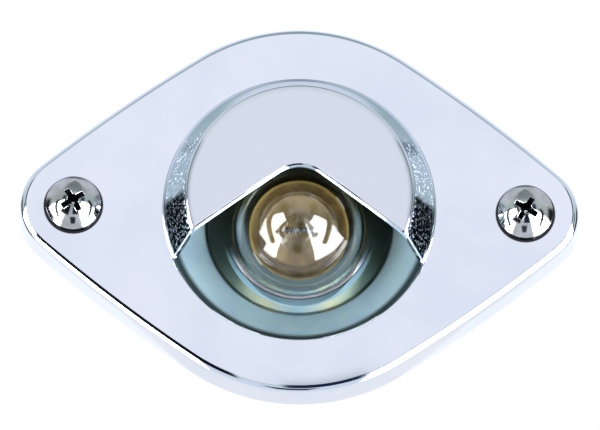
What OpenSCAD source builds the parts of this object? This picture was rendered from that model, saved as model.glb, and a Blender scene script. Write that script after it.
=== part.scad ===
// Number plate lamp with a pressed eyelid hood.
// The lamp is drawn lying on its back: z is the height above the panel, y is up once it is mounted.
// The module mounted() at the end turns it upright, with its face towards -Y.

/* [Flange] */
// Distance between the two fixing screws
screw_pitch = 63.5; // [58:0.5:72]
// Half of the flat face's height at the middle
face_half_height = 25.8; // [25:0.1:28]
// Radius of the outline over the hood
middle_radius = 25.2; // [24:0.1:27]
// Radius of the outline round each screw
end_radius = 6.5; // [6:0.1:7.5]
// Radius of the four shallow flanks
flank_radius = 220; // [150:5:400]
// Height of the flat face above the panel
flange_height = 4.5; // [4:0.1:6]
// Thickness of the cover's sheet
cover_sheet = 0.8; // [0.6:0.05:0.9]
// Outer radius of the bend round the face
edge_bend = 1.1; // [1:0.05:1.4]
// Draft of the skirt
skirt_draft = 7; // [3:0.5:12]

/* [Hood] */
// Radius of the hood where its wall meets the flange
hood_foot_radius = 19; // [18:0.1:20]
// Height of the hood's crown above the flange
hood_height = 8.2; // [7:0.1:9]
// Draft of the hood's wall
hood_draft = 23.7; // [15:0.5:28]
// Radius of the shoulder between wall and crown
hood_shoulder = 1.4; // [1:0.1:2]
// Radius of the fillet at the hood's foot
hood_foot_fillet = 0.6; // [0.4:0.1:1]
// Radius of the slightly domed crown
crown_radius = 110; // [80:5:200]
// Height of the eyelid's sharp corner above the middle
lid_corner = 4.6; // [3:0.1:6]
// Slope of the eyelid's two edges
lid_slope = 35.5; // [30:0.5:40]
// Radius that rounds the eyelid's corner
lid_round = 4.6; // [3:0.1:6]

/* [Reflector housing] */
// Thickness of the housing's sheet
housing_sheet = 0.8; // [0.6:0.05:1]
// Gap between the housing's edge and the cover's bend
housing_edge_gap = 0.4; // [0.3:0.1:1]
// How far the bowl's mouth stands back from the cover's opening
bowl_mouth_gap = 0.4; // [0.3:0.1:0.8]
// Radius of the ring at the foot of the bowl
ring_radius = 13; // [12.5:0.1:14]
// Depth of that ring behind the panel's face
ring_depth = 3.8; // [3:0.1:5]
// Tilt of the bulb and its socket, towards the number plate
socket_tilt = 17; // [14:0.5:19]
// Drop of the socket's axis below the middle, at the ring
socket_drop = 0.7; // [0:0.1:1]
// Depth of the well behind the ring
well_depth = 5; // [4.5:0.1:6]
// Clearance between the bulb's globe and the well
well_gap = 0.4; // [0.3:0.1:0.6]
// Width of the flare at the well's lower lip
flare_width = 0.9; // [0.6:0.1:1]

/* [Socket] */
// Wall of the socket's shell
shell_wall = 0.5; // [0.4:0.05:0.6]
// Clearance between the bulb's cap and the shell
cap_gap = 0.2; // [0.15:0.05:0.3]
// Width of the lip that seats the shell in the well
lip_width = 0.9; // [0.7:0.1:1]
// Room for the contact spring behind the carrier
spring_room = 4.7; // [4.2:0.1:7]
// Clearance round the bulb's pins in their slots
pin_gap = 0.2; // [0.15:0.05:0.3]
// Turn from the entry slot to the locking notch
lock_turn = 35; // [30:1:45]
// Travel of the bulb against its spring
press_travel = 1.5; // [1:0.1:1.8]
// Thickness of the sprung contact carrier
carrier_thickness = 2.2; // [1.8:0.1:2.6]
// Clearance round the contact carrier
carrier_gap = 0.25; // [0.2:0.05:0.35]
// Width of the bead that stops the carrier
stop_bead = 0.5; // [0.4:0.05:0.6]
// Radius of the contact button
button_radius = 2; // [1.6:0.1:2.6]
// Radius of the contact spring's wire
spring_wire = 0.35; // [0.25:0.05:0.4]
// Radius of the contact spring, to the middle of its wire
spring_radius = 5; // [4:0.1:6]
// Turns of the contact spring
spring_turns = 3; // [2:0.5:3.5]
// Thickness of the insulating end plate
end_plate = 1.4; // [1:0.1:2]
// Radius of the end plate's wire hole
wire_hole = 3; // [2.5:0.1:3.5]
// Radius of the bore through the grommet
grommet_bore = 1.3; // [1:0.1:1.6]
// Width of the grommet's collars outside the hole
grommet_collar = 1.2; // [0.8:0.1:1.5]
// Thickness of each collar
grommet_collar_thickness = 1; // [0.8:0.1:1.3]

/* [Bulb] */
// Radius of the bulb's glass globe
globe_radius = 9.2; // [8.5:0.1:9.5]
// Height of the globe's middle above the ring
globe_rise = 5.5; // [5:0.1:7]
// Thickness of the bulb's glass
glass_wall = 0.6; // [0.5:0.05:0.8]
// Radius of the bulb's neck
neck_radius = 6.3; // [6:0.1:6.5]
// Radius of the curve from globe to neck
neck_fillet = 2.5; // [2:0.1:4]
// Radius of the brass cap
cap_radius = 7.55; // [7.4:0.05:7.7]
// Wall of the brass cap
cap_wall = 0.35; // [0.3:0.05:0.45]
// Depth of the cap's rim behind the ring
cap_rim_depth = 5.8; // [5.5:0.1:6.5]
// Length of the cap's straight barrel
cap_barrel = 13.5; // [12.5:0.1:14]
// Radius of the opening in the cap's end
cap_end_radius = 5; // [4.5:0.1:5.5]
// Length of the cap's coned end
cap_end_cone = 1; // [0.8:0.1:1.2]
// Depth of the pins below the cap's rim
pin_depth = 8.7; // [8:0.1:9.5]
// Radius of the bayonet pins
pin_radius = 1; // [0.8:0.05:1.1]
// How far the pins stand out from the cap
pin_reach = 1.1; // [0.9:0.1:1.3]
// Height of the solder contact
contact_height = 0.6; // [0.4:0.1:1]
// Radius of the solder contact
contact_radius = 2.3; // [1.8:0.1:2.8]
// Height of the black glass button that carries the contact
button_glass = 1; // [0.8:0.1:1.2]
// Depth of the neck's closed end below the cap's rim
neck_depth = 3.4; // [3:0.1:4.5]
// Length of the glass stem that carries the filament
stem_length = 7.4; // [6:0.1:8]
// Radius of the stem at its foot
stem_foot = 3.2; // [2.6:0.1:3.6]
// Radius of the stem's flattened top
stem_top = 1.5; // [1.3:0.1:1.8]
// Radius of the wires that hold the filament
support_wire = 0.25; // [0.2:0.05:0.35]
// Half of the distance between those wires at the stem
support_foot = 0.8; // [0.6:0.1:1]
// Half of the filament's length
filament_half = 2.2; // [1.8:0.1:2.8]
// Radius of the filament's coil
filament_coil = 0.4; // [0.3:0.05:0.5]
// Radius of the filament's wire
filament_wire = 0.09; // [0.08:0.01:0.12]
// Turns of the filament
filament_turns = 9; // [6:1:12]

/* [Fixings] */
// Radius of the screws' threaded shanks
screw_radius = 2; // [1.8:0.1:2.2]
// Radius of the plain neck under each head, where the rolled thread has not begun
screw_neck = 1.75; // [1.6:0.05:1.75]
// Clearance round the shanks
screw_gap = 0.3; // [0.2:0.05:0.4]
// How far the shanks reach behind the panel's face
screw_reach = 12; // [8:0.5:20]
// Radius of the pan heads
head_radius = 4.1; // [3.8:0.1:4.3]
// Height of the pan heads
head_height = 2.4; // [2:0.1:2.8]
// Clearance between the gasket and what it surrounds
gasket_gap = 0.5; // [0.3:0.1:0.8]
// Gap between the gasket's edge and the skirt's bend
gasket_edge_gap = 0.2; // [0.1:0.1:0.6]

/* [Hidden] */
$fn = 96;

// A margin by which one solid runs past another where they are joined or cut
over = 0.5;
// Points on a rounded corner, and on a long shallow curve
corner_steps = 6;
curve_steps = 14;
flank_steps = 4;

// Outline of the flat face: a middle arc, four flanks and two end arcs, each tangent to the next
screw_x = screw_pitch / 2;
middle_y = face_half_height - middle_radius;
flank_to_middle = flank_radius - middle_radius;
flank_to_end = flank_radius - end_radius;
centres_apart = norm([screw_x, middle_y]);
flank_along = (flank_to_middle * flank_to_middle - flank_to_end * flank_to_end
               + centres_apart * centres_apart) / (2 * centres_apart);
flank_aside = sqrt(flank_to_middle * flank_to_middle - flank_along * flank_along);
toward_end = [screw_x, -middle_y] / centres_apart;
flank_centre = [0, middle_y] + toward_end * flank_along
             - [-toward_end[1], toward_end[0]] * flank_aside;
flank_start = atan2(-flank_centre[1], screw_x - flank_centre[0]);
flank_stop = atan2(middle_y - flank_centre[1], -flank_centre[0]);

// Heights of the layers behind the face
face_back = flange_height - cover_sheet;
plate_back = face_back - housing_sheet;

// The skirt, as offsets from the line where the flat face ends
bend_centre_z = flange_height - edge_bend;
skirt_top = bend_centre_z + edge_bend * sin(skirt_draft);
skirt_foot = edge_bend * cos(skirt_draft) + skirt_top * tan(skirt_draft);
// Width of the band where the hood's revolved foot overlaps the flat face
rim_band = 3;

// The hood's section
foot_centre = [hood_foot_radius + hood_foot_fillet / tan((90 + hood_draft) / 2),
               flange_height + hood_foot_fillet];
crown_centre = [0, flange_height + hood_height - crown_radius];
wall_normal = [cos(hood_draft), sin(hood_draft)];
wall_along = [-sin(hood_draft), cos(hood_draft)];
shoulder_from = [hood_foot_radius, flange_height] - hood_shoulder * wall_normal;
shoulder_run = (shoulder_from - crown_centre) * wall_along;
shoulder_miss = (shoulder_from - crown_centre) * (shoulder_from - crown_centre)
              - (crown_radius - hood_shoulder) * (crown_radius - hood_shoulder);
shoulder_centre = shoulder_from
                + wall_along * (sqrt(shoulder_run * shoulder_run - shoulder_miss) - shoulder_run);
crown_edge = atan2(shoulder_centre[1] - crown_centre[1], shoulder_centre[0]);
hood_plate_radius = foot_centre[0] + rim_band / 2;
lid_reach = 1.4 * hood_foot_radius;

// The bowl, the ring and the well
bowl_mouth = hood_foot_radius + bowl_mouth_gap;
bowl_angle = atan2(face_back + ring_depth, bowl_mouth - ring_radius);
bowl_miter = housing_sheet * tan(bowl_angle / 2);
well_radius = globe_radius + well_gap;
well_outer = well_radius + housing_sheet;
well_lip_height = well_radius * tan(socket_tilt);
flare_start = well_lip_height / 2;
flare_rise = 2 * flare_start;

// Along the socket's axis, from the ring's plane towards the eye
shell_inner = cap_radius + cap_gap;
shell_outer = shell_inner + shell_wall;
shell_seat = -well_depth;
slot_half = pin_radius + pin_gap;
pin_z = -cap_rim_depth - pin_depth;
slot_bottom = pin_z - press_travel;
cap_barrel_end = -cap_rim_depth - cap_barrel;
cap_end = cap_barrel_end - cap_end_cone;
contact_face = cap_end - button_glass / 2 - contact_height;
carrier_front = contact_face - contact_height / 2;
carrier_back = carrier_front - carrier_thickness;
end_plate_front = carrier_back - spring_room;
end_plate_back = end_plate_front - end_plate;
shell_rear = end_plate_back - shell_wall;
neck_end = -cap_rim_depth - neck_depth;
neck_fillet_z = globe_rise - sqrt(pow(globe_radius + neck_fillet, 2) - pow(neck_radius + neck_fillet, 2));
neck_fillet_angle = atan2(neck_fillet_z - globe_rise, neck_radius + neck_fillet);
stem_base = neck_end + glass_wall;
stem_end = stem_base + stem_length;

// Points on an arc from one angle to another
function arc(centre, radius, from, to, steps) =
    [for (i = [0:steps]) let (a = from + (to - from) * i / steps)
        centre + radius * [cos(a), sin(a)]];

function backwards(points) = [for (i = [len(points) - 1:-1:0]) points[i]];

// The quarter outline from the middle of the top to the screw's end, moved in by inset
function quarter_outline(inset) = concat(
    arc([0, middle_y], middle_radius - inset, 90, flank_stop, curve_steps),
    [for (i = [1:flank_steps - 1])
        arc(flank_centre, flank_radius - inset, flank_stop, flank_start, flank_steps)[i]],
    arc([screw_x, 0], end_radius - inset, flank_start, 0, corner_steps));

// The whole outline, clockwise from the middle of the top, with no point twice
function face_outline(inset) = let (q = quarter_outline(inset), r = backwards(q), last = len(q) - 1)
    concat(
        [for (i = [0:last - 1]) q[i]],
        [for (i = [0:last - 1]) [r[i][0], -r[i][1]]],
        [for (i = [0:last - 1]) [-q[i][0], -q[i][1]]],
        [for (i = [0:last - 1]) [-r[i][0], r[i][1]]]);

// The hood's sheet as one line from the flange to the crown, at a depth below its outer surface
function hood_line(depth) = concat(
    [[hood_plate_radius, flange_height - depth]],
    arc(foot_centre, hood_foot_fillet + depth, 270, 180 + hood_draft, corner_steps),
    arc(shoulder_centre, hood_shoulder - depth, hood_draft, crown_edge, corner_steps),
    arc(crown_centre, crown_radius - depth, crown_edge, 90, corner_steps));

// The bulb's glass as one line from the tip to the closed neck, at a depth below its surface
function glass_line(depth) = concat(
    arc([0, globe_rise], globe_radius - depth, 90, neck_fillet_angle, 2 * curve_steps),
    arc([neck_radius + neck_fillet, neck_fillet_z], neck_fillet + depth,
        180 + neck_fillet_angle, 180, corner_steps),
    [[neck_radius - depth, neck_end + depth], [0, neck_end + depth]]);

// Rings of points along a helix, for a wire of round section
function helix_rings(radius, wire, rise, turns, steps, sides) =
    [for (i = [0:steps]) let (t = i / steps, a = 360 * turns * t)
        for (j = [0:sides - 1]) let (b = 360 * j / sides, r = radius + wire * cos(b))
            [r * cos(a), r * sin(a), rise * t + wire * sin(b)]];

function helix_faces(steps, sides) = concat(
    [[for (j = [0:sides - 1]) j]],
    [for (i = [0:steps - 1]) for (j = [0:sides - 1]) let (k = (j + 1) % sides)
        [i * sides + j, (i + 1) * sides + j, (i + 1) * sides + k, i * sides + k]],
    [[for (j = [sides - 1:-1:0]) steps * sides + j]]);

// A round wire wound into a helix that stands on the plane z = 0
module helix(radius, wire, rise, turns, steps, sides) {
    polyhedron(points = helix_rings(radius, wire, rise, turns, steps, sides),
               faces = helix_faces(steps, sides), convexity = 8);
}

// A straight round wire between two points of the plane y = 0
module straight_wire(from, to, radius) {
    run = to - from;
    translate([from[0], 0, from[1]])
        rotate([0, atan2(run[0], run[1]), 0])
            cylinder(r = radius, h = norm(run), $fn = 24);
}

// A flat plate of the flange's outline, moved in by inset, between two heights
module outline_plate(inset, low, high) {
    translate([0, 0, low]) linear_extrude(high - low) polygon(face_outline(inset));
}

module screw_holes(radius) {
    for (side = [-1, 1])
        translate([side * screw_x, 0, -over])
            cylinder(r = radius, h = flange_height + 2 * over);
}

// Puts z on the socket's axis, with the ring's plane at z = 0
module on_socket_axis() {
    translate([0, -socket_drop, -ring_depth])
        rotate([socket_tilt, 0, 0]) children();
}

// Turns the lamp upright, with its face towards -Y
module mounted() {
    rotate([90, 0, 0]) children();
}

// The area that the eyelid leaves open, bounded below by the hood's foot circle
module lid_opening() {
    round_y = lid_corner - lid_round / cos(lid_slope);
    intersection() {
        circle(r = hood_foot_radius);
        polygon(concat(
            [[-lid_reach, lid_corner - lid_reach * tan(lid_slope)]],
            arc([0, round_y], lid_round, 90 + lid_slope, 90 - lid_slope, 2 * corner_steps),
            [[lid_reach, lid_corner - lid_reach * tan(lid_slope)], [lid_reach, -lid_reach],
             [-lid_reach, -lid_reach]]));
    }
}

// The solid inside the outline, bounded by the bend and the wall at a depth below the outside
module flange_form(depth, foot) {
    section = concat(
        arc([0, bend_centre_z], edge_bend - depth, 90, skirt_draft, corner_steps),
        [[skirt_foot - depth / cos(skirt_draft) + foot * tan(skirt_draft), -foot]]);
    rings = [for (p = section) face_outline(-p[0])];
    count = len(rings[0]);
    layers = len(section);
    polyhedron(
        points = [for (i = [0:layers - 1]) for (p = rings[i]) [p[0], p[1], section[i][1]]],
        faces = concat(
            [[for (j = [0:count - 1]) j]],
            [for (i = [0:layers - 2]) for (j = [0:count - 1]) let (k = (j + 1) % count)
                [i * count + j, (i + 1) * count + j, (i + 1) * count + k, i * count + k]],
            [[for (j = [count - 1:-1:0]) (layers - 1) * count + j]]),
        convexity = 2);
}

module hood_cover() {
    color("gainsboro") mounted() difference() {
        union() {
            difference() {
                flange_form(0, 0);
                flange_form(cover_sheet, over);
                translate([0, 0, face_back - over])
                    cylinder(r = hood_plate_radius, h = 2 * over + cover_sheet);
            }
            translate([0, 0, face_back]) linear_extrude(cover_sheet) difference() {
                circle(r = hood_plate_radius + rim_band / 2);
                circle(r = foot_centre[0] + rim_band / 4);
            }
            rotate_extrude() polygon(concat(hood_line(0), backwards(hood_line(cover_sheet))));
        }
        translate([0, 0, face_back - over])
            linear_extrude(hood_height + cover_sheet + 2 * over) lid_opening();
        screw_holes(screw_radius + screw_gap);
    }
}

module reflector_housing() {
    color("lightsteelblue") mounted() difference() {
        union() {
            difference() {
                outline_plate(housing_edge_gap, plate_back, face_back);
                translate([0, 0, plate_back - over])
                    cylinder(r = bowl_mouth + bowl_miter + over / 2, h = housing_sheet + 2 * over);
            }
            rotate_extrude() polygon([
                [bowl_mouth + bowl_miter + over, face_back], [bowl_mouth, face_back],
                [ring_radius, -ring_depth], [0, -ring_depth], [0, -ring_depth - housing_sheet],
                [ring_radius + bowl_miter, -ring_depth - housing_sheet],
                [bowl_mouth + bowl_miter, plate_back],
                [bowl_mouth + bowl_miter + over, plate_back]]);
            intersection() {
                on_socket_axis() translate([0, 0, shell_seat - housing_sheet])
                    cylinder(r = well_outer, h = 2 * well_depth);
                translate([0, 0, -3 * well_depth - ring_depth])
                    cylinder(r = 2 * ring_radius, h = 3 * well_depth);
            }
        }
        on_socket_axis() {
            translate([0, 0, shell_seat]) cylinder(r = well_radius, h = 2 * well_depth);
            translate([0, 0, flare_start])
                cylinder(r1 = well_radius, r2 = well_radius + flare_width * flare_rise / flare_start,
                         h = flare_rise);
            translate([0, 0, shell_seat - housing_sheet - over])
                cylinder(r = shell_outer + cap_gap / 2, h = housing_sheet + 2 * over);
            entry_slots(shell_seat - housing_sheet - over, shell_seat + over);
        }
        screw_holes(screw_radius + screw_gap);
    }
}

// Two straight slots that let the bulb's pins in, between two depths
module entry_slots(low, high) {
    slot_reach = cap_radius + pin_reach + pin_gap;
    rotate([0, 0, lock_turn])
        translate([-slot_reach, -slot_half, low])
            cube([2 * slot_reach, 2 * slot_half, high - low]);
}

// A straight slot with a round lower end, cut through both sides of the shell up to a height
module straight_slots(top) {
    rotate([90, 0, 90]) linear_extrude(2 * (shell_outer + over), center = true)
        polygon(concat(
            arc([0, slot_bottom], slot_half, 180, 360, 2 * corner_steps),
            [[slot_half, top], [-slot_half, top]]));
}

// Each slot runs in, turns across and comes back a little, so that the spring holds the pin
module bayonet_slots() {
    rotate([0, 0, lock_turn]) straight_slots(shell_seat + lip_width + over);
    straight_slots(pin_z + slot_half);
    // The way across is a little narrower than the ends of the slots that it joins
    across = pin_radius + pin_gap / 2;
    for (side = [0, 180])
        rotate([0, 0, side])
            rotate_extrude(angle = lock_turn)
                translate([shell_inner - over, slot_bottom - across])
                    square([shell_wall + 2 * over, 2 * across]);
}

module socket_shell() {
    bead_low = carrier_front + 0.4 * stop_bead;
    bead_high = bead_low + 0.9 * stop_bead;
    color("silver") mounted() on_socket_axis() difference() {
        rotate_extrude() polygon([
            [shell_inner, shell_seat + shell_wall], [shell_outer + lip_width, shell_seat + shell_wall],
            [shell_outer + lip_width, shell_seat], [shell_outer, shell_seat],
            [shell_outer, shell_rear], [shell_inner - lip_width, shell_rear],
            [shell_inner - lip_width, end_plate_back], [shell_inner, end_plate_back],
            [shell_inner, bead_low], [shell_inner - stop_bead, bead_low + 0.3 * stop_bead],
            [shell_inner - stop_bead, bead_high - 0.3 * stop_bead], [shell_inner, bead_high]]);
        bayonet_slots();
    }
}

module contact_carrier() {
    color("sienna") mounted() on_socket_axis() translate([0, 0, carrier_back]) difference() {
        cylinder(r = shell_inner - carrier_gap, h = carrier_thickness);
        translate([0, 0, -over]) cylinder(r = button_radius, h = carrier_thickness + 2 * over);
    }
}

// A rivet whose head meets the bulb and whose tail takes the lead
module contact_button() {
    head = carrier_front - contact_face;
    color("goldenrod") mounted() on_socket_axis() rotate_extrude() polygon([
        [0, contact_face], [button_radius, contact_face],
        [button_radius + abs(head), carrier_front], [button_radius, carrier_front],
        [button_radius, carrier_back], [button_radius + abs(head), carrier_back],
        [button_radius, carrier_back - contact_height], [0, carrier_back - contact_height]]);
}

module contact_spring() {
    room = carrier_back - end_plate_front;
    color("silver") mounted() on_socket_axis()
        translate([0, 0, end_plate_front + spring_wire])
            helix(spring_radius, spring_wire, room - 2 * spring_wire, spring_turns, 54, 8);
}

module socket_end_plate() {
    color("saddlebrown") mounted() on_socket_axis() translate([0, 0, end_plate_back]) difference() {
        cylinder(r = shell_inner - cap_gap / 2, h = end_plate);
        translate([0, 0, -over]) cylinder(r = wire_hole, h = end_plate + 2 * over);
    }
}

module wire_grommet() {
    collar = wire_hole + grommet_collar;
    low = end_plate_back - grommet_collar_thickness;
    high = end_plate_front + grommet_collar_thickness;
    color("dimgray") mounted() on_socket_axis() rotate_extrude() polygon([
        [grommet_bore, low], [collar - grommet_collar / 3, low], [collar, end_plate_back],
        [wire_hole, end_plate_back], [wire_hole, end_plate_front], [collar, end_plate_front],
        [collar - grommet_collar / 3, high], [grommet_bore, high]]);
}

module bulb_glass() {
    color("aliceblue", 0.4) mounted() on_socket_axis()
        rotate_extrude() polygon(concat(glass_line(0), backwards(glass_line(glass_wall))));
}

module bulb_cap() {
    inner = cap_radius - cap_wall;
    color("goldenrod") mounted() on_socket_axis() difference() {
        rotate_extrude() polygon([
            [inner, -cap_rim_depth], [cap_radius, -cap_rim_depth], [cap_radius, cap_barrel_end],
            [cap_end_radius, cap_end], [cap_end_radius - cap_wall, cap_end + cap_wall],
            [inner, cap_barrel_end + cap_wall / 2]]);
        translate([0, 0, pin_z]) rotate([0, 90, 0])
            cylinder(r = pin_radius, h = 3 * cap_radius, center = true);
    }
}

// A brass pin pressed through the cap's wall
module bulb_pin(side) {
    color("gold") mounted() on_socket_axis()
        translate([side * (cap_radius - cap_wall), 0, pin_z]) rotate([0, side * 90, 0])
            cylinder(r = pin_radius, h = cap_wall + pin_reach, $fn = 48);
}

module bulb_pin_left() {
    bulb_pin(-1);
}

module bulb_pin_right() {
    bulb_pin(1);
}

module bulb_cap_glass() {
    seat = cap_end_radius - cap_wall;
    color("black") mounted() on_socket_axis() rotate_extrude() polygon([
        [0, cap_end + 2 * button_glass], [seat / 2, cap_end + 2 * button_glass],
        [seat, cap_end + cap_wall], [cap_end_radius, cap_end],
        [contact_radius, cap_end - button_glass / 2], [0, cap_end - button_glass / 2]]);
}

module bulb_contact() {
    top = cap_end - button_glass / 2;
    color("lightgray") mounted() on_socket_axis() rotate_extrude() polygon([
        [0, top], [contact_radius, top], [contact_radius, top - contact_height / 2],
        [contact_radius * 0.7, contact_face], [0, contact_face]]);
}

module basing_cement() {
    fill_top = -cap_rim_depth - glass_wall;
    color("peru") mounted() on_socket_axis() rotate_extrude() polygon([
        [neck_radius, fill_top], [cap_radius - cap_wall, fill_top],
        [cap_radius - cap_wall, neck_end], [neck_radius, neck_end]]);
}

// A glass tube drawn in to a pinched top that seals the two wires
module bulb_stem() {
    color("lightcyan", 0.5) mounted() on_socket_axis() rotate_extrude() polygon(concat(
        [[0, stem_base], [stem_foot, stem_base]],
        arc([stem_foot, stem_base + stem_length / 2], stem_foot - stem_top,
            240, 180, corner_steps),
        [[stem_top, stem_end - stem_top / 2], [stem_top - stem_top / 3, stem_end], [0, stem_end]]));
}

// A wire that leans out from the stem's top, where it is sealed in, to one end of the filament
module support_wires(side) {
    foot = [side * support_foot, stem_end];
    tip = [side * filament_half, globe_rise];
    lean = (tip - foot) / norm(tip - foot);
    color("gray") mounted() on_socket_axis() intersection() {
        straight_wire(foot - support_wire * lean, tip, support_wire);
        translate([-globe_radius, -globe_radius, stem_end]) cube(2 * globe_radius);
    }
}

module support_wire_left() {
    support_wires(-1);
}

module support_wire_right() {
    support_wires(1);
}

module filament() {
    room = 2 * (filament_half - support_wire - filament_wire);
    color("dimgray") mounted() on_socket_axis()
        translate([-room / 2, 0, globe_rise]) rotate([0, 90, 0])
            helix(filament_coil, filament_wire, room, filament_turns, 12 * filament_turns, 5);
}

module panel_gasket() {
    color("darkslategray") mounted() difference() {
        outline_plate(gasket_edge_gap, 0, plate_back);
        translate([0, 0, -over])
            cylinder(r = bowl_mouth + bowl_miter + gasket_gap, h = plate_back + 2 * over);
        screw_holes(screw_radius + screw_gap / 2);
    }
}

// A pan-head screw with a crossed recess; turn is how far its recess was left turned
module screw(side, turn) {
    recess_depth = 0.75 * head_height;
    recess_reach = 0.56 * head_radius;
    recess_width = 0.24 * head_radius;
    top_radius = 0.62 * head_radius;
    color("silver") mounted() translate([side * screw_x, 0, 0]) difference() {
        union() {
            translate([0, 0, -screw_reach]) cylinder(r = screw_radius, h = screw_reach);
            translate([0, 0, -over]) cylinder(r = screw_neck, h = flange_height + over);
            translate([0, 0, flange_height]) rotate_extrude() polygon(concat(
                [[0, 0], [head_radius, 0], [head_radius, 0.3 * head_height]],
                arc([head_radius - 0.5 * head_height, 0.45 * head_height], 0.5 * head_height,
                    15, 75, corner_steps),
                [[top_radius, head_height], [0, head_height]]));
        }
        translate([0, 0, flange_height + head_height - recess_depth]) rotate([0, 0, turn])
            for (arm = [0, 90])
                rotate([0, 0, arm])
                    translate([-recess_reach, -recess_width / 2, 0])
                        cube([2 * recess_reach, recess_width, recess_depth + over]);
        translate([0, 0, flange_height + head_height - recess_depth])
            cylinder(r1 = recess_width / 2, r2 = recess_width, h = recess_depth + over);
    }
}

module screw_left() {
    screw(-1, 35);
}

module screw_right() {
    screw(1, 62);
}

hood_cover();
reflector_housing();
socket_shell();
contact_carrier();
contact_button();
contact_spring();
socket_end_plate();
wire_grommet();
bulb_glass();
bulb_cap();
bulb_pin_left();
bulb_pin_right();
bulb_cap_glass();
bulb_contact();
basing_cement();
bulb_stem();
support_wire_left();
support_wire_right();
filament();
panel_gasket();
screw_left();
screw_right();
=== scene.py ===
import math

import bpy
from mathutils import Matrix, Vector


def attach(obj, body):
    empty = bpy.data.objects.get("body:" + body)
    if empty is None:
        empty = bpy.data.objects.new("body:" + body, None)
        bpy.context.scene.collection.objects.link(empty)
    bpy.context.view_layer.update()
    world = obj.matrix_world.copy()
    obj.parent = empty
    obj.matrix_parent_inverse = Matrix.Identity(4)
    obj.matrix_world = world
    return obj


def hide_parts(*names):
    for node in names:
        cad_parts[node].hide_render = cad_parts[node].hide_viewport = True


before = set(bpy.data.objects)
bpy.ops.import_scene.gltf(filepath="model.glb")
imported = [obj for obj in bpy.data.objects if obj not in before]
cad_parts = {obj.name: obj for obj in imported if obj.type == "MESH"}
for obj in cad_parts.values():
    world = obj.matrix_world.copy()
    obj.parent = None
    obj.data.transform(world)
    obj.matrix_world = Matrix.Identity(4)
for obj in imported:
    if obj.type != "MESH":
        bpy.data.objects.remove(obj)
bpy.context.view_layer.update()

# The viewpoint: straight in front of the lamp and 17.6 degrees below its axis, where the eyelid
# opens and the bulb shows. The long lens keeps the two screws alike.
below = math.radians(17.6)
roll = math.radians(1.1)
distance = 0.7
look = Vector((0, math.cos(below), math.sin(below)))
aim = Vector((0.0001, -0.0042, -0.0009))
bpy.ops.object.camera_add(location=aim - distance * look)
camera = bpy.context.object
camera.name = "camera"
turn = look.to_track_quat("-Z", "Y").to_matrix().to_4x4() @ Matrix.Rotation(roll, 4, "Z")
camera.matrix_world = Matrix.Translation(aim - distance * look) @ turn
camera.data.lens = 299
camera.data.clip_start = 0.01
camera.data.clip_end = 50
bpy.context.scene.camera = camera
bpy.context.scene.view_settings.view_transform = "Standard"


# The studio round the lamp: a broad pale screen in front, bright windows low on both sides, dark
# walls beside them, and a dark patch below the lens. Chrome shows all of it, so it is drawn by direction.
class Value:
    """A number or colour on its way through a node tree, which Python's signs can work on."""

    def __init__(self, tree, socket=None):
        self.tree = tree
        self.socket = socket

    def node(self, kind, settings=None, sockets=None, out=0):
        made = self.tree.nodes.new(kind)
        for name, setting in (settings or {}).items():
            if name == "stops":
                ramp = made.color_ramp
                while len(ramp.elements) < len(setting):
                    ramp.elements.new(0.5)
                for element, (place, colour) in zip(ramp.elements, setting):
                    element.position = place
                    element.color = (*colour, 1)
            else:
                setattr(made, name, setting)
        for name, value in (sockets or {}).items():
            if isinstance(value, Value):
                self.tree.links.new(value.socket, made.inputs[name])
            else:
                made.inputs[name].default_value = value
        return Value(self.tree, made.outputs[out] if made.outputs else None)

    def maths(self, operation, *values):
        return self.node("ShaderNodeMath", {"operation": operation}, dict(enumerate(values)))

    def __add__(self, other):
        return self.maths("ADD", self, other)

    def __sub__(self, other):
        return self.maths("SUBTRACT", self, other)

    def __rsub__(self, other):
        return self.maths("SUBTRACT", other, self)

    def __mul__(self, other):
        return self.maths("MULTIPLY", self, other)

    def __truediv__(self, other):
        return self.maths("DIVIDE", self, other)

    def __pow__(self, other):
        return self.maths("POWER", self, other)

    __radd__ = __add__
    __rmul__ = __mul__

    def __abs__(self):
        return self.maths("ABSOLUTE", self)

    def root(self):
        return self.maths("SQRT", self)

    def parts(self):
        """The three numbers of a place or direction."""
        made = self.node("ShaderNodeSeparateXYZ", sockets={0: self}).socket.node
        return [Value(self.tree, socket) for socket in made.outputs]

    def noise(self, scale, detail):
        """A cloudy pattern over the places of a piece."""
        return self.node("ShaderNodeTexNoise", sockets={"Vector": self, "Scale": scale, "Detail": detail})

    def rise(self, start, stop):
        """Goes smoothly from 0 at start to 1 at stop, or the other way where stop is the lower."""
        low, high = min(start, stop), max(start, stop)
        ends = (0.0, 1.0) if start < stop else (1.0, 0.0)
        return self.node(
            "ShaderNodeMapRange",
            {"interpolation_type": "SMOOTHSTEP"},
            {"Value": self, "From Min": low, "From Max": high, "To Min": ends[0], "To Max": ends[1]},
        )

    def between(self, low, high, soft):
        return self.rise(low - soft, low + soft) * self.rise(high + soft, high - soft)

    def blend(self, first, second):
        """One colour over another, with this value as how much of the second shows."""
        colours = {
            name: value if isinstance(value, Value) else (*value, 1)
            for name, value in ((6, first), (7, second))
        }
        return self.node("ShaderNodeMix", {"data_type": "RGBA"}, {0: self, **colours}, out=2)


world = bpy.data.worlds.new("studio")
bpy.context.scene.world = world
world.use_nodes = True
world.node_tree.nodes.clear()
studio = Value(world.node_tree)
way = studio.node("ShaderNodeTexCoord")
across, depth, height = way.parts()
degrees = 180 / math.pi
azimuth = studio.maths("ARCTAN2", across, 0 - depth) * degrees
elevation = studio.maths("ARCSINE", height) * degrees
sideways = abs(azimuth)
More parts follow.
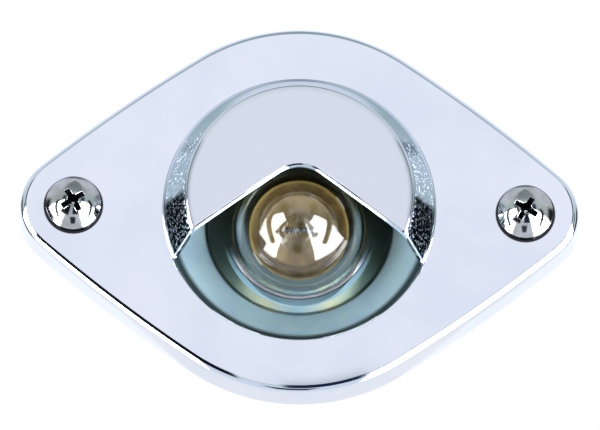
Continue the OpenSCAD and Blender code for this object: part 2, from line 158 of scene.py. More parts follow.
# How far a direction is from the one that the flat face mirrors, and its bearing from straight down.
along_mirror, over_mirror = [
    studio.node("ShaderNodeVectorMath", {"operation": "DOT_PRODUCT"}, {0: way, 1: axis}, out=1)
    for axis in ((0, -look.y, look.z), (0, look.z, look.y))
]
off = studio.maths("ARCCOSINE", along_mirror) * degrees
fall = studio.maths("ARCTAN2", across, 0 - over_mirror) * degrees


def patch(under, bearings, distances, colour):
    """The light with a patch over it, between two bearings and two distances, each with its softness."""
    return (fall.between(*bearings) * off.between(*distances)).blend(under, colour)


# The screen, with its upper half darker in the middle, and bright where the flat face mirrors it.
light = elevation.rise(-24, -8).blend((0.80, 0.86, 0.93), (0.60, 0.71, 0.67))
light = (elevation.rise(38, 52) * sideways.rise(60, 30)).blend(light, (0.34, 0.40, 0.43))
light = (sideways.rise(30, 60) * elevation.rise(20, 40)).blend(light, (0.80, 0.86, 0.93))
light = off.rise(23, 17).blend(light, (0.99, 1.0, 1.03))
# Dark strips that the edge, the fillets and the screws show, a patch below the lens, and dark flanks.
light = patch(light, (-61, -20, 1.5), (8, 52, 1.2), (0.006, 0.008, 0.012))
light = patch(light, (-4, 23, 2), (6, 48, 1.5), (0.008, 0.02, 0.05))
light = patch(light, (-122, -54, 4), (19, 33, 2), (0.05, 0.06, 0.09))
light = patch(light, (80, 125, 4), (19, 33, 2), (0.03, 0.06, 0.12))
below_lens = azimuth.between(-14, 9, 2) * elevation.between(-60, -38, 2)
light = below_lens.blend(light, (0.03, 0.04, 0.05))
flanks = sideways.between(76, 110, 6) * elevation.between(-25, 24, 6)
light = flanks.blend(light, (0.02, 0.02, 0.025))
# The windows: two at the left, then the sill, the panes and the curtain of the one at the right.
daylight = (14.0, 14.8, 15.6)
light = patch(light, (-90, -57, 0.8), (27, 80, 1.2), daylight)
light = patch(light, (-58, -36, 0.8), (56, 96, 1.2), daylight)
light = patch(light, (26, 70, 2), (8, 13, 1.5), (0.30, 0.34, 0.40))
light = patch(light, (26, 82, 0.8), (26, 94, 1.2), daylight)
light = patch(light, (31, 46, 1.5), (17, 54, 2), (2.4, 2.5, 2.6))
# Curved dark bars at both sides, which the hood's wall shows at its lower corners.
lift = studio.maths("MAXIMUM", elevation + 2, 0)
bars = (sideways + lift * lift * 0.022).between(50.5, 61, 0.8) * elevation.between(-32, 18, 1)
light = bars.blend(light, (0.02, 0.025, 0.03))
light = depth.rise(0.1, 0.4).blend(light, (1.12, 1.14, 1.18))
seen = studio.node("ShaderNodeLightPath", out="Is Camera Ray")
shown = seen.blend(light, (1, 1, 1))
backdrop = studio.node("ShaderNodeBackground", sockets={"Color": shown, "Strength": 1.0})
studio.node("ShaderNodeOutputWorld", sockets={"Surface": backdrop})


# The floor is plain pale paper, laid flat well below the lamp. It glows white towards the camera
# and in mirrors, so that it shows there like the ground of a cut-out picture.
def deselect_all():
    if bpy.context.object and bpy.context.object.mode != "OBJECT":
        bpy.ops.object.mode_set(mode="OBJECT")
    bpy.ops.object.select_all(action="DESELECT")


def take(piece):
    """Selects only this piece and makes it the active one."""
    deselect_all()
    piece.select_set(True)
    bpy.context.view_layer.objects.active = piece


def finish_material(name, metallic=0.0, roughness=0.5, **constants):
    """A new material with its shader: returns the material, the shader's node and a start value."""
    material = bpy.data.materials.new(name)
    material.use_nodes = True
    shader = material.node_tree.nodes["Principled BSDF"]
    shader.inputs["Metallic"].default_value = metallic
    shader.inputs["Roughness"].default_value = roughness
    for socket, value in constants.items():
        shader.inputs[socket.replace("_", " ")].default_value = value
    return material, shader, Value(material.node_tree)


def feed(shader, socket, value):
    value.tree.links.new(value.socket, shader.inputs[socket])


deselect_all()
bpy.ops.mesh.primitive_plane_add(size=1.6, location=(0, 0.72, -0.5))
floor = bpy.context.object
floor.name = "floor"
paper, shader, start = finish_material("pale_paper", roughness=0.9, Base_Color=(0.9, 0.9, 0.9, 1))
ray = start.node("ShaderNodeLightPath").socket.node
in_view = Value(start.tree, ray.outputs["Is Camera Ray"]) + Value(start.tree, ray.outputs["Is Glossy Ray"])
glow = start.node("ShaderNodeEmission", sockets={"Color": (1, 1, 1, 1), "Strength": 1.0})
matt = Value(start.tree, shader.outputs[0])
shown = start.node("ShaderNodeMixShader", sockets={0: in_view, 1: matt, 2: glow})
start.tree.links.new(shown.socket, start.tree.nodes["Material Output"].inputs[0])
floor.data.materials.append(paper)


# The cover is one steel pressing, plated with bright chrome: a flat lozenge face with a bent edge
# and a drafted skirt, and a round hood in its middle, cut away below by a V with a rounded top.
face_depth = 0.0045
sheet = 0.0008
screw_x = 0.03175
screw_hole = 0.0023
bend = 0.0011
draft = math.radians(7)
half_height, middle_radius = 0.0258, 0.0252
flank_radius, end_radius = 0.220, 0.0065
past_hood = 0.023
rounds = 240
touch = 1e-6


def arc(centre, radius, start, stop, steps):
    angles = [math.radians(start + (stop - start) * i / steps) for i in range(steps + 1)]
    return [(centre[0] + radius * math.cos(a), centre[1] + radius * math.sin(a)) for a in angles]


def lozenge(grow):
    """The face's outline moved out by grow: middle arcs, shallow flanks and the arcs round the screws."""
    middle = (0, half_height - middle_radius)
    apart = math.hypot(screw_x, middle[1])
    to_middle, to_end = flank_radius - middle_radius, flank_radius - end_radius
    along = (to_middle**2 - to_end**2 + apart**2) / (2 * apart)
    aside = math.sqrt(to_middle**2 - along**2)
    ahead = (screw_x / apart, -middle[1] / apart)
    flank = (ahead[0] * along + ahead[1] * aside, middle[1] + ahead[1] * along - ahead[0] * aside)
    first = math.degrees(math.atan2(-flank[1], screw_x - flank[0]))
    last = math.degrees(math.atan2(middle[1] - flank[1], -flank[0]))
    quarter = arc(middle, middle_radius + grow, 90, last, 30)[:-1]
    quarter += arc(flank, flank_radius + grow, last, first, 14)[:-1]
    quarter += arc((screw_x, 0), end_radius + grow, first, 0, 16)
    back = quarter[:0:-1]
    quarter = quarter[:-1]
    return (
        quarter
        + [(x, -z) for x, z in back]
        + [(-x, -z) for x, z in quarter]
        + [(-x, z) for x, z in back]
    )


def circle(radius):
    """The points round the Y axis where a spun piece has its corners."""
    angles = [2 * math.pi * i / rounds for i in range(rounds)]
    return [(radius * math.sin(a), radius * math.cos(a)) for a in angles]


def spun(name, profile, steps):
    """A line of (radius, depth) points, drawn by extruding a point and spun once round the Y axis."""
    deselect_all()
    bpy.ops.mesh.primitive_plane_add(size=0.01)
    piece = bpy.context.object
    piece.name = name
    bpy.ops.object.mode_set(mode="EDIT")
    bpy.ops.mesh.merge(type="CENTER")
    bpy.ops.mesh.select_mode(type="VERT")
    bpy.ops.mesh.select_all(action="SELECT")
    bpy.ops.transform.translate(value=(profile[0][0], profile[0][1], 0))
    for (r0, y0), (r1, y1) in zip(profile, profile[1:]):
        bpy.ops.mesh.extrude_region_move(TRANSFORM_OT_translate={"value": (r1 - r0, y1 - y0, 0)})
    bpy.ops.mesh.select_all(action="SELECT")
    bpy.ops.mesh.spin(steps=steps, angle=2 * math.pi, center=(0, 0, 0), axis=(0, 1, 0))
    bpy.ops.mesh.select_all(action="SELECT")
    bpy.ops.mesh.remove_doubles(threshold=2 * touch)
    bpy.ops.object.mode_set(mode="OBJECT")
    return piece


def choose(piece, test):
    """Leaves the piece in edit mode with only the edges selected whose ends pass the test."""
    take(piece)
    bpy.ops.object.mode_set(mode="EDIT")
    bpy.ops.mesh.select_mode(type="EDGE")
    bpy.ops.mesh.select_all(action="DESELECT")
    bpy.ops.object.mode_set(mode="OBJECT")
    spots = [vertex.co for vertex in piece.data.vertices]
    for side in piece.data.edges:
        side.select = test([spots[i] for i in side.vertices])
    bpy.ops.object.mode_set(mode="EDIT")


def edit_all(piece, step, **settings):
    """Runs one mesh operator on the whole piece."""
    take(piece)
    bpy.ops.object.mode_set(mode="EDIT")
    bpy.ops.mesh.select_all(action="SELECT")
    step(**settings)
    bpy.ops.object.mode_set(mode="OBJECT")


def outward(piece):
    """Turns all faces of the piece outwards."""
    edit_all(piece, bpy.ops.mesh.normals_make_consistent, inside=False)


def merge(piece, near):
    """Joins the corners that lie on each other."""
    edit_all(piece, bpy.ops.mesh.remove_doubles, threshold=near)


def thicken(piece, thickness, back_finish=0):
    """Gives a skin its thickness, inwards, and its back the finish that many slots further on."""
    skin = piece.modifiers.new("thickness", "SOLIDIFY")
    skin.thickness = thickness
    skin.offset = -1
    skin.material_offset = back_finish
    skin.use_even_offset = True
    bpy.ops.object.modifier_apply(modifier=skin.name)


def cut(piece, tool, operation="DIFFERENCE"):
    """Takes a solid out of a piece, or joins it to it, and removes the solid."""
    take(piece)
    boolean = piece.modifiers.new("cut", "BOOLEAN")
    boolean.object = tool
    boolean.operation = operation
    boolean.solver = "MANIFOLD"
    if tool.data.materials:
        boolean.material_mode = "TRANSFER"
    bpy.ops.object.modifier_apply(modifier=boolean.name)
    bpy.data.objects.remove(tool)
    bpy.ops.object.material_slot_remove_unused()


foot_grow = bend * math.cos(draft) + (face_depth - bend + bend * math.sin(draft)) * math.tan(draft)
top_grow = foot_grow - face_depth * math.tan(draft)
crown, hood_height, foot = 0.110, 0.0082, 0.019
wall_angle = 23.7
wall_draft = math.radians(wall_angle)
fillet, shoulder = 0.00045, 0.0005
fillet_x = foot + fillet / math.tan((math.pi / 2 + wall_draft) / 2)
crown_y = face_depth + hood_height - crown


def corner(inset):
    """Where the hood's wall and crown would meet if both were moved in by inset."""
    nx, ny = math.cos(wall_draft), math.sin(wall_draft)
    from_x, from_y = foot - inset * nx, face_depth - inset * ny - crown_y
    run = from_y * nx - from_x * ny
    miss = from_x**2 + from_y**2 - (crown - inset) ** 2
    slide = math.sqrt(run**2 - miss) - run
    return from_x - ny * slide, from_y + crown_y + nx * slide


shoulder_at, inner_corner = corner(shoulder), corner(sheet)
crown_edge = math.degrees(math.atan2(shoulder_at[1] - crown_y, shoulder_at[0]))
rim_x = fillet_x + 0.0008
hood_line = [(rim_x, face_depth)]
hood_line += arc((fillet_x, face_depth + fillet), fillet, 270, 180 + wall_angle, 8)
hood_line += arc(shoulder_at, shoulder, wall_angle, crown_edge, 12)
hood_line += arc((0, crown_y), crown, crown_edge, 90, 16)[1:]
cover = spun("cover", [(r, -h) for r, h in hood_line], rounds)

chrome, shader, start = finish_material("bright_chrome", metallic=1.0)
place = start.node("ShaderNodeTexCoord", out="Object")
x, y, z = place.parts()
cloud = place.noise(90.0, 3.0)
ripple = place.noise(900.0, 2.0)
speck = place.noise(2600.0, 1.0)
feed(shader, "Roughness", cloud * 0.04 + 0.03)
from_axis = (x * x + z * z).root()
plate = cloud.rise(0.3, 0.7).blend((0.71, 0.76, 0.87), (0.77, 0.81, 0.91))
# The hood's wall has a painted greyer reflection above and a painted dark reflection at its lower corners,
# and the crown is duller than the face.
on_wall = from_axis.between(0.0162, 0.0189, 0.0003) * y.rise(-0.0048, -0.0052)
plate = (on_wall * z.rise(0.006, 0.015)).blend(plate, (0.46, 0.57, 0.64))
dark_corner_reflection = from_axis.between(0.0162, 0.0193, 0.0001) * y.rise(-0.00455, -0.0047)
dark_corner_reflection = dark_corner_reflection * z.rise(0.0012, -0.0006) * z.rise(-0.0083, -0.0077)
plate = dark_corner_reflection.blend(plate, (0.10, 0.12, 0.13))
plate = y.rise(-0.0105, -0.0112).blend(plate, (0.67, 0.71, 0.80))
# A dark ring is painted round each screw's head, as its contact shadow on the cover.
below_head = z + 0.0002
from_screw = ((abs(x) - screw_x) ** 2 + below_head * below_head).root()
feed(shader, "Base Color", from_screw.rise(0.00428, 0.00412).blend(plate, (0.03, 0.03, 0.035)))
relief = ripple * 0.12 + speck.rise(0.60, 0.68) * z.rise(0.011, 0.006) * 1.6
dent = start.node("ShaderNodeBump", sockets={"Strength": on_wall, "Distance": 0.0001, "Height": relief})
feed(shader, "Normal", dent)
cover.data.materials.append(chrome)
dull, shader, start = finish_material("dull_back", metallic=1.0)
cloud = start.node("ShaderNodeTexNoise", sockets={"Scale": 40.0, "Detail": 3.0})
feed(shader, "Base Color", cloud.rise(0.3, 0.7).blend((0.16, 0.17, 0.14), (0.24, 0.25, 0.21)))
feed(shader, "Roughness", cloud * 0.2 + 0.35)
cover.data.materials.append(dull)


def rim_to(piece, before, after, depth):
    """Extrudes the open rim, whose corners lie on one outline, and lays it on the next one."""
    bpy.ops.mesh.extrude_region_move()
    bpy.ops.object.mode_set(mode="OBJECT")
    for vertex in piece.data.vertices:
        if vertex.select:
            spot = vertex.co
            near = min(range(len(before)), key=lambda i: math.dist(before[i], (spot.x, spot.z)))
            vertex.co = (after[near][0], depth, after[near][1])
    bpy.ops.object.mode_set(mode="EDIT")


def on_face(ends, radius):
    """Whether these corners lie on the flat face and further out than the radius."""
    return all(abs(p.y + face_depth) < touch and math.hypot(p.x, p.z) > radius for p in ends)


face_outline, foot_outline = lozenge(top_grow), lozenge(foot_grow)
choose(cover, lambda ends: on_face(ends, rim_x - touch))
rim_to(cover, circle(rim_x), face_outline, -face_depth)
rim_to(cover, face_outline, foot_outline, 0)
choose(cover, lambda ends: on_face(ends, past_hood))
bpy.ops.mesh.bevel(offset=bend * math.tan((math.pi / 2 - draft) / 2), segments=12, profile=0.5)
outward(cover)
thicken(cover, sheet, back_finish=1)
# The shoulder is tighter than the sheet is thick, so its inside is drawn to a sharp corner.
spots = [vertex.co.copy() for vertex in cover.data.vertices]
for spot, vertex in zip(spots[: len(spots) // 2], cover.data.vertices[len(spots) // 2:]):
    radius = math.hypot(spot.x, spot.z)
    if abs(math.dist((radius, -spot.y), shoulder_at) - shoulder) < touch:
        reach = inner_corner[0] / radius
        vertex.co = (spot.x * reach, -inner_corner[1], spot.z * reach)
for vertex in cover.data.vertices:
    vertex.co.y = min(vertex.co.y, 0)
merge(cover, 2 * touch)


def punch(points, near, far):
    """A solid of the flat outline between two depths along Y."""
    deselect_all()
    bpy.ops.mesh.primitive_circle_add(vertices=len(points), radius=0.01)
    block = bpy.context.object
    for vertex, (x, z) in zip(block.data.vertices, points):
        vertex.co = (x, near, z)
    bpy.ops.object.mode_set(mode="EDIT")
    bpy.ops.mesh.select_all(action="SELECT")
    bpy.ops.mesh.edge_face_add()
    bpy.ops.mesh.extrude_region_move(TRANSFORM_OT_translate={"value": (0, far - near, 0)})
    bpy.ops.object.mode_set(mode="OBJECT")
    outward(block)
    return block


def screw_holes(piece):
    """Punches the two holes that the screws pass."""
    for side in (-1, 1):
        cut(piece, punch(arc((side * screw_x, 0), screw_hole, 360, 0, 64)[:-1], -0.002, -0.006))


def depth_on(line, radius):
    """The height of a hood line at a radius."""
    for (r0, h0), (r1, h1) in zip(line, line[1:]):
        if r1 <= radius <= r0:
            return h0 + (h1 - h0) * (r0 - radius) / (r0 - r1)
    return line[0][1]


def round_bar(points, radius, sizes):
    """A round bar along a closed line of points, where sizes are its thickness as shares of radius."""
    deselect_all()
    bpy.ops.curve.primitive_nurbs_path_add()
    bar = bpy.context.object
    bar.data.splines.clear()
    line = bar.data.splines.new("POLY")
    line.points.add(len(points) - 1)
    for point, spot, size in zip(line.points, points, sizes):
        point.co = (*spot, 1)
        point.radius = size
    line.use_cyclic_u = True
    bar.data.dimensions = "3D"
    bar.data.bevel_depth = radius
    bar.data.bevel_resolution = 4
    bpy.ops.object.convert(target="MESH")
    outward(bpy.context.object)
    return bpy.context.object


# The edge of the opening is rolled round, so a bar of nearly the sheet's thickness runs along it.
edge, lip_edge, sink = 0.00044, 0.00039, 0.00003
lid_angle, lid_corner = 35.5, 0.0046
slope = math.radians(lid_angle)
half = math.tan(slope)
lid_round = lid_corner + edge
round_z = lid_corner - lid_corner / math.cos(slope)
lid_top = round_z + lid_round / math.cos(slope)
lip = foot + lip_edge
meet_x = (lid_top * half + math.sqrt((1 + half**2) * lip**2 - lid_top**2)) / (1 + half**2)
meet = math.degrees(math.asin((lid_top - half * meet_x) / lip))
eyelid = arc((0, round_z), lid_round, 90 + lid_angle, 90 - lid_angle, 24)
straight = Vector(eyelid[-1]), Vector((meet_x, lid_top - half * meet_x))
side_line = [tuple(straight[0].lerp(straight[1], i / 80)) for i in range(1, 80)]
eyelid += side_line + arc((0, 0), lip, meet, -180 - meet, 180) + [(-x, z) for x, z in side_line[::-1]]
middle_line = []
for before, here, after in zip(hood_line, hood_line[1:], hood_line[2:]):
    ahead = (Vector(after) - Vector(before)).normalized() * (edge + sink)
    middle_line.append((here[0] - ahead.y, here[1] + ahead.x))
middle_line = [(rim_x, face_depth - edge - sink)] + middle_line
bar_line = [(x, -depth_on(middle_line, math.hypot(x, z)), z) for x, z in eyelid]
screw_holes(cover)
cut(cover, punch(eyelid, -0.002, -0.014))
sizes = [lip_edge / edge if math.hypot(x, z) > lip - touch else 1 for x, z in eyelid]
cut(cover, round_bar(bar_line, edge, sizes), operation="UNION")
merge(cover, touch)
bpy.ops.object.shade_smooth_by_angle(angle=math.radians(28))
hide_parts("hood_cover")
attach(cover, "lamp")


# The reflector housing is a zinc plated steel pressing behind the cover: a plate with a coned bowl,
# a flat ring, and a tilted well for the bulb whose lower lip is flared. The screws clamp it.
mouth, ring, ring_back = 0.0194, 0.0130, -0.0038
disc, ring_hole, press_round = 0.0215, 0.004, 0.0006
plate_y = -(face_depth - sheet)
tilt = math.radians(17)
socket_at = Vector((0, -ring_back, -0.0007))
well, well_floor, cap_hole, flare = 0.0096, -0.0050, 0.00835, 0.0018


def rounded(points, radius, steps=5):
    """The line through (radius, depth) points with its inner corners rounded."""
    line = [points[0]]
    for before, corner, after in zip(points, points[1:], points[2:]):
        corner, into, out = Vector(corner), Vector(before), Vector(after)
        into, out = (into - corner).normalized(), (out - corner).normalized()
        reach = radius / math.tan(into.angle(out) / 2)
        middle = corner + (into + out).normalized() * radius / math.sin(into.angle(out) / 2)
        first, last = corner + into * reach - middle, corner + out * reach - middle
        for i in range(steps + 1):
            spot = middle + first.lerp(last, i / steps).normalized() * radius
            line.append((spot.x, spot.y))
    return line + [points[-1]]


def upright(piece):
    """Leans a piece that was made along Y onto the socket's axis."""
    take(piece)
    piece.rotation_euler = (tilt, 0, 0)
    piece.location = socket_at
    bpy.ops.object.transform_apply()
    return piece


def drum(radius, low, high, top_radius=None):
    """A solid of revolution along the socket's axis, used for cutting or joining."""
    deselect_all()
    bpy.ops.mesh.primitive_cone_add(
        vertices=rounds, radius1=radius, radius2=top_radius or radius, depth=high - low,
        location=(0, -(low + high) / 2, 0), rotation=(math.pi / 2, 0, 0),
    )
    piece = bpy.context.object
    bpy.ops.object.transform_apply()
    return upright(piece)


housing_line = [(disc, plate_y), (mouth, plate_y), (ring, -ring_back), (ring_hole, -ring_back)]
housing = spun("housing", rounded(housing_line, press_round), rounds)
choose(housing, lambda ends: all(math.hypot(p.x, p.z) > disc - 0.00001 for p in ends))
rim_to(housing, circle(disc), lozenge(-0.0004), plate_y)
choose(housing, lambda ends: all(math.hypot(p.x, p.z) < ring_hole + 0.00001 for p in ends))
bpy.ops.mesh.edge_face_add()
outward(housing)
thicken(housing, sheet)
outward(housing)
cup = drum(well + sheet, well_floor - sheet, 0.006)
ring_middle = (0, -ring_back + sheet / 2, 0)
forward = (0, -1, 0)
edit_all(cup, bpy.ops.mesh.bisect, plane_co=ring_middle, plane_no=forward, use_fill=True, clear_outer=True)
outward(cup)
cut(housing, cup, operation="UNION")
flare_from = well * math.tan(tilt) / 2
cut(housing, drum(well, well_floor, 0.012))
cut(housing, drum(well, flare_from, 3 * flare_from, well + flare))
cut(housing, drum(cap_hole, well_floor - 0.002, well_floor + 0.0005))
screw_holes(housing)
merge(housing, touch)
bpy.ops.object.shade_smooth_by_angle(angle=math.radians(28))


def ahead_of_seat(y, z):
    """How far a place is in front of the socket's seat, along its axis."""
    return (socket_at.y - y) * math.cos(tilt) + (socket_at.z - z) * math.sin(tilt)


def above_socket(y, z):
    """How far a place is above the socket's axis, square to it."""
    return (z - socket_at.z) * math.cos(tilt) - (y - socket_at.y) * math.sin(tilt)


zinc, shader, start = finish_material("passivated_zinc", metallic=1.0)
place = start.node("ShaderNodeTexCoord", out="Object")
x, y, z = place.parts()
cloud = place.noise(260.0, 4.0)
# The passivation's film changes colour from the middle of the flat ring towards its sides, where it is
# painted dark as shade.
aside = abs(x) / ring + (place.noise(120.0, 2.0) - 0.5) * 0.25
film_with_side_shade = start.node("ShaderNodeValToRGB", {"stops": [
    (0.0, (0.27, 0.44, 0.54)), (0.20, (0.40, 0.50, 0.50)), (0.38, (0.50, 0.51, 0.36)),
    (0.54, (0.30, 0.38, 0.30)), (0.68, (0.12, 0.18, 0.15)), (1.0, (0.05, 0.08, 0.07))]}, {0: aside})
bowl = cloud.rise(0.3, 0.7).blend((0.58, 0.82, 0.99), (0.65, 0.90, 1.0))
from_axis = (x * x + z * z).root()
# The bowl is painted dark from near its mouth outwards, as shade under the cover's lip.
bowl = from_axis.rise(0.0174, 0.0183).blend(bowl, (0.05, 0.08, 0.09))
on_ring = y.rise(0.0030, 0.0036)
outer = on_ring.blend(bowl, film_with_side_shade)
lean = above_socket(y, z)
from_socket = (x * x + lean * lean).root()
high = lean - 0.0009
from_lip = (x * x + high * high).root()
# A pinkish white highlight is painted on the well's lower lip and the edge of its flare, with less metal in
# it.
inside = from_socket.rise(0.00967, 0.00962)
flare_highlight = start.maths("MAXIMUM", inside, from_lip.rise(0.01052, 0.01046))
flare_highlight = flare_highlight * from_socket.rise(0.00935, 0.00945) * lean.rise(-0.0035, -0.0058) * on_ring
# Above the socket the bowl and ring are painted dark olive, as shade under the hood.
outer = (z.rise(-0.001, 0.006) * from_axis.rise(0.0195, 0.0190)).blend(outer, (0.08, 0.10, 0.06))
# The lower part of the flare's cone is painted pale, with less metal, as light falling on it.
lit_cone = from_socket.between(0.0096, 0.01078, 0.00006) * lean.rise(-0.002, -0.005) * on_ring
outer = lit_cone.blend(outer, (0.21, 0.33, 0.40))
# A thin dark line is painted as shade along the flare's outer edge, on the lower side.
seam_shade = from_lip.between(0.01054, 0.01068, 0.00004) * lean.rise(-0.001, -0.003) * on_ring
outer = seam_shade.blend(outer, (0.02, 0.03, 0.03))
# The well's wall is painted dark above, as shade, and paler below, as lit.
well_wall_shading = lean.rise(-0.003, -0.008).blend((0.13, 0.12, 0.08), (0.34, 0.44, 0.46))
outer = from_socket.rise(0.0097, 0.00962).blend(outer, well_wall_shading)
feed(shader, "Base Color", flare_highlight.blend(outer, (0.97, 0.90, 0.95)))
feed(shader, "Roughness", cloud * 0.15 + 0.32)
pale = start.maths("MAXIMUM", flare_highlight, lit_cone)
feed(shader, "Metallic", 1.0 - pale * 0.82 - (1.0 - on_ring) * 0.2)
housing.data.materials.clear()
housing.data.materials.append(zinc)
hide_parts("reflector_housing")
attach(housing, "lamp")


# The bulb's envelope is blown from clear glass: a globe on a narrower neck, closed below. A gold
# cement seals it to the cap, and its skin carries that seal as a second finish round the neck.
def mottled(name, first, second, scale, metallic=0.0, rough=(0.3, 0.5)):
    """A finish whose colour and roughness wander between two states."""
    material, shader, start = finish_material(name, metallic=metallic)
    state = start.node("ShaderNodeTexCoord", out="Object").noise(scale, 4.0).rise(0.35, 0.65)
    feed(shader, "Base Color", state.blend(first, second))
    feed(shader, "Roughness", state * (rough[1] - rough[0]) + rough[0])
    return material


globe, globe_at, wall = 0.0092, 0.0055, 0.0006
neck, waist, neck_end = 0.0063, 0.0025, -0.0092
belt, seal_top, seal_foot = 0.0044, 0.0003, 0.0013
waist_at = globe_at - math.sqrt((globe + waist) ** 2 - (neck + waist) ** 2)
waist_angle = math.degrees(math.atan2(waist_at - globe_at, neck + waist))
glass_line = arc((0, globe_at), globe, 90, waist_angle, 56)
glass_line += arc((neck + waist, waist_at), waist, 180 + waist_angle, 180, 12)
glass_line += rounded([glass_line.pop(), (neck, neck_end), (0, neck_end)], 0.0012)
envelope = upright(spun("glass", [(r, -h) for r, h in glass_line], 128))
outward(envelope)
thicken(envelope, wall)
bpy.ops.object.shade_smooth()

clear, shader, start = finish_material("clear_glass", roughness=0.0, Transmission_Weight=1.0, IOR=1.5)
x, y, z = start.node("ShaderNodeTexCoord", out="Object").parts()
smoky = ahead_of_seat(y, z).between(globe_at - belt, globe_at + belt, 0.0006)
feed(shader, "Base Color", smoky.blend((0.98, 0.99, 0.99), (0.64, 0.68, 0.64)))
envelope.data.materials.append(clear)
seal, shader, start = finish_material("neck_seal", metallic=0.5)
place = start.node("ShaderNodeTexCoord", out="Object")
x, y, z = place.parts()
cloud = place.noise(420.0, 4.0)
cement = cloud.rise(0.35, 0.65).blend((0.42, 0.27, 0.10), (0.60, 0.42, 0.18))
gilded = ahead_of_seat(y, z).rise(-0.0004, 0.0)
feed(shader, "Base Color", gilded.blend(cement, (0.95, 0.66, 0.20)))
feed(shader, "Roughness", cloud * 0.2 + 0.3)
envelope.data.materials.append(seal)
ahead = Vector((0, -math.cos(tilt), -math.sin(tilt)))
for face in envelope.data.polygons:
    height = (face.center - socket_at).dot(ahead)
    outwards = face.normal.dot(face.center - socket_at - ahead * height) > 0
    if height < neck_end + seal_foot or (height < seal_top and outwards):
        face.material_index = 1
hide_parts("bulb_glass")
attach(envelope, "bulb")


# The bulb's inner parts: a glass stem with two nickel wires that hold a coiled tungsten filament.
# Their shapes are the CAD's own, and only their finishes are made here.
def dress(material, *names):
    for name in names:
        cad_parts[name].data.materials.clear()
        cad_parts[name].data.materials.append(material)


dress(clear, "bulb_stem")
nickel = mottled("nickel", (0.42, 0.44, 0.47), (0.55, 0.56, 0.58), 900.0, 1.0)
dress(nickel, "support_wire_left", "support_wire_right")
dress(mottled("tungsten", (0.16, 0.16, 0.17), (0.25, 0.25, 0.27), 1500.0, 1.0), "filament")

# The bulb's cap is a drawn brass tube with two pins, held to the glass by a baked cement. Black
# glass closes its end and carries the solder contact. The CAD's shapes get their finishes here.
brass = mottled("brass", (0.85, 0.55, 0.16), (0.95, 0.70, 0.28), 350.0, 1.0, (0.25, 0.4))
dress(brass, "bulb_cap", "bulb_pin_left", "bulb_pin_right")
cement = mottled("cement", (0.50, 0.31, 0.11), (0.64, 0.42, 0.18), 1200.0, 0.0, (0.6, 0.8))
dress(cement, "basing_cement")
black_glass = mottled("black_glass", (0.01, 0.01, 0.012), (0.02, 0.02, 0.022), 300.0, 0.0, (0.1, 0.2))
dress(black_glass, "bulb_cap_glass")
solder = mottled("solder", (0.40, 0.41, 0.42), (0.55, 0.56, 0.57), 900.0, 1.0, (0.3, 0.5))
dress(solder, "bulb_contact")

# The socket behind the housing: a zinc plated tube, whose lip is painted dark as shade, darkest at the top,
# with a sprung phenolic carrier and its brass button, a fibre end plate and a rubber grommet. A rubber
# gasket lies on the panel.
tube, shader, start = finish_material("zinc_tube", metallic=1.0)
place = start.node("ShaderNodeTexCoord", out="Object")
x, y, z = place.parts()
state = place.noise(500.0, 4.0).rise(0.35, 0.65)
# The tube's lip is painted dark as shade, darkest at its top.
lip_shade = above_socket(y, z).rise(-0.004, -0.0085).blend((0.02, 0.03, 0.025), (0.12, 0.16, 0.16))
bare = state.blend((0.60, 0.61, 0.60), (0.66, 0.67, 0.65))
feed(shader, "Base Color", ahead_of_seat(y, z).rise(-0.0056, -0.0052).blend(bare, lip_shade))
feed(shader, "Roughness", state * 0.08 + 0.28)
dress(tube, "socket_shell")
phenolic = mottled("phenolic", (0.13, 0.055, 0.025), (0.20, 0.09, 0.04), 700.0, 0.0, (0.4, 0.55))
dress(phenolic, "contact_carrier")
dress(brass, "contact_button")
spring_steel = mottled("spring_steel", (0.35, 0.36, 0.38), (0.5, 0.5, 0.52), 900.0, 1.0, (0.25, 0.4))
dress(spring_steel, "contact_spring")
fibre = mottled("fibre", (0.20, 0.07, 0.035), (0.28, 0.11, 0.055), 800.0, 0.0, (0.6, 0.8))
dress(fibre, "socket_end_plate")
rubber = mottled("rubber", (0.012, 0.012, 0.013), (0.024, 0.024, 0.025), 900.0, 0.0, (0.65, 0.85))
dress(rubber, "wire_grommet", "panel_gasket")

# The fixing screws are chromed steel with low domed heads, crossed recesses, and a plain neck that
# passes the cover, the housing and the gasket before the thread starts behind the panel.
head, head_side, head_top = 0.0039, 0.0050, 0.00675
head_bow = (head**2 + (head_top - head_side) ** 2) / (2 * (head_top - head_side))
head_lean = 90 - math.degrees(math.asin(head / head_bow))
screw_neck, shank, point, screw_end = 0.00175, 0.0016, 0.0012, -0.012
pitch, turns, thread_root, thread_crest = 0.0007, 15, 0.0015, 0.00198
recess_mouth, recess_floor = -0.0071, -0.0049
arm, arm_width, arm_floor, arm_floor_width = 0.00222, 0.00043, 0.0008, 0.00028
pilot_mouth, pilot_tip, pilot_depth, pilot_at = 0.00095, 0.0002, 0.00245, -0.00595

screw_chrome, shader, start = finish_material("screw_chrome", metallic=1.0)
cloud = start.node("ShaderNodeTexCoord", out="Object").noise(500.0, 3.0)
feed(shader, "Base Color", cloud.rise(0.35, 0.65).blend((0.44, 0.44, 0.44), (0.58, 0.58, 0.60)))
feed(shader, "Roughness", cloud * 0.14 + 0.02)
soft_edges = start.node("ShaderNodeBevel", {"samples": 8}, {"Radius": 0.00016})
feed(shader, "Normal", soft_edges)

# The recesses get a near black finish that hardly reflects, as painted shade.
painted_recess_shade = mottled("recess_shade_finish", (0.001, 0.001, 0.001), (0.005, 0.005, 0.005), 900.0, 0.0, (0.7, 0.9))
painted_recess_shade.node_tree.nodes["Principled BSDF"].inputs["Specular IOR Level"].default_value = 0.03


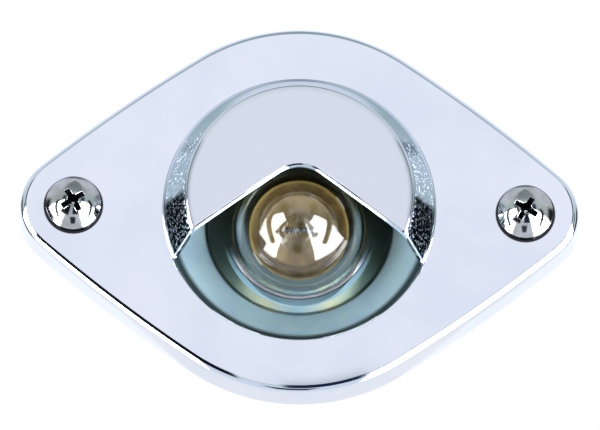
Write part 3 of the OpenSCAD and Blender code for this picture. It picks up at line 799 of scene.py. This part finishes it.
def blade(turn_by, bottom):
    """A tapered wedge that cuts one arm pair of the crossed recess, down to a depth."""
    deselect_all()
    bpy.ops.mesh.primitive_cube_add(size=2)
    wedge = bpy.context.object
    for vertex in wedge.data.vertices:
        deep = vertex.co.y > 0
        vertex.co.x *= arm_floor if deep else arm
        vertex.co.z *= arm_floor_width if deep else arm_width
        vertex.co.y = bottom if deep else recess_mouth - (bottom - recess_floor) * 2
    wedge.data.materials.append(painted_recess_shade)
    wedge.rotation_euler = (0, turn_by, 0)
    bpy.ops.object.transform_apply()
    return wedge


def screw(name, node, side, turned):
    """A screw at one side, whose recess was left turned by an angle."""
    line = [(0, screw_end), (point, screw_end), (shank, screw_end + 0.0007), (shank, 0.0)]
    line += [(screw_neck, 0.0002), (screw_neck, face_depth)]
    line += rounded([(screw_neck, face_depth), (head, face_depth), (head, head_side + 0.00002)], 0.0002)[1:]
    line += arc((0, head_top - head_bow), head_bow, head_lean, 90, 24)
    piece = spun(name, [(r, -h) for r, h in line], 64)
    piece.data.materials.append(screw_chrome)
    outward(piece)
    # The second blade stops a little higher, so that the two floors don't lie in one plane.
    for quarter, bottom in ((0, recess_floor), (90, recess_floor + 0.00004)):
        cut(piece, blade(-math.radians(turned + quarter), bottom))
    deselect_all()
    bpy.ops.mesh.primitive_cone_add(
        vertices=20, radius1=pilot_mouth, radius2=pilot_tip, depth=pilot_depth,
        location=(0, pilot_at, 0), rotation=(-math.pi / 2, 0, 0),
    )
    pilot = bpy.context.object
    pilot.data.materials.append(screw_chrome)
    bpy.ops.object.transform_apply()
    pilot.rotation_euler = (0, -math.radians(turned + 5), 0)
    bpy.ops.object.transform_apply()
    cut(piece, pilot)
    deselect_all()
    bpy.ops.mesh.primitive_circle_add(vertices=3, radius=0.01)
    ridge = bpy.context.object
    tooth = ((thread_root, 0.00032), (thread_crest, 0.0006), (thread_root, 0.00088))
    for vertex, spot in zip(ridge.data.vertices, tooth):
        vertex.co = (*spot, 0)
    helix = ridge.modifiers.new("helix", "SCREW")
    helix.axis = "Y"
    helix.screw_offset = pitch
    helix.iterations = turns
    helix.steps = 32
    bpy.ops.object.modifier_apply(modifier="helix")
    edit_all(ridge, bpy.ops.mesh.fill_holes, sides=3)
    outward(ridge)
    cut(piece, ridge, operation="UNION")
    take(piece)
    piece.location = (side * screw_x, 0, 0)
    bpy.ops.object.transform_apply()
    bpy.ops.object.shade_smooth_by_angle(angle=math.radians(30))
    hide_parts(node)
    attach(piece, "lamp")


screw("left_screw", "screw_left", -1, 33)
screw("right_screw", "screw_right", 1, 59)
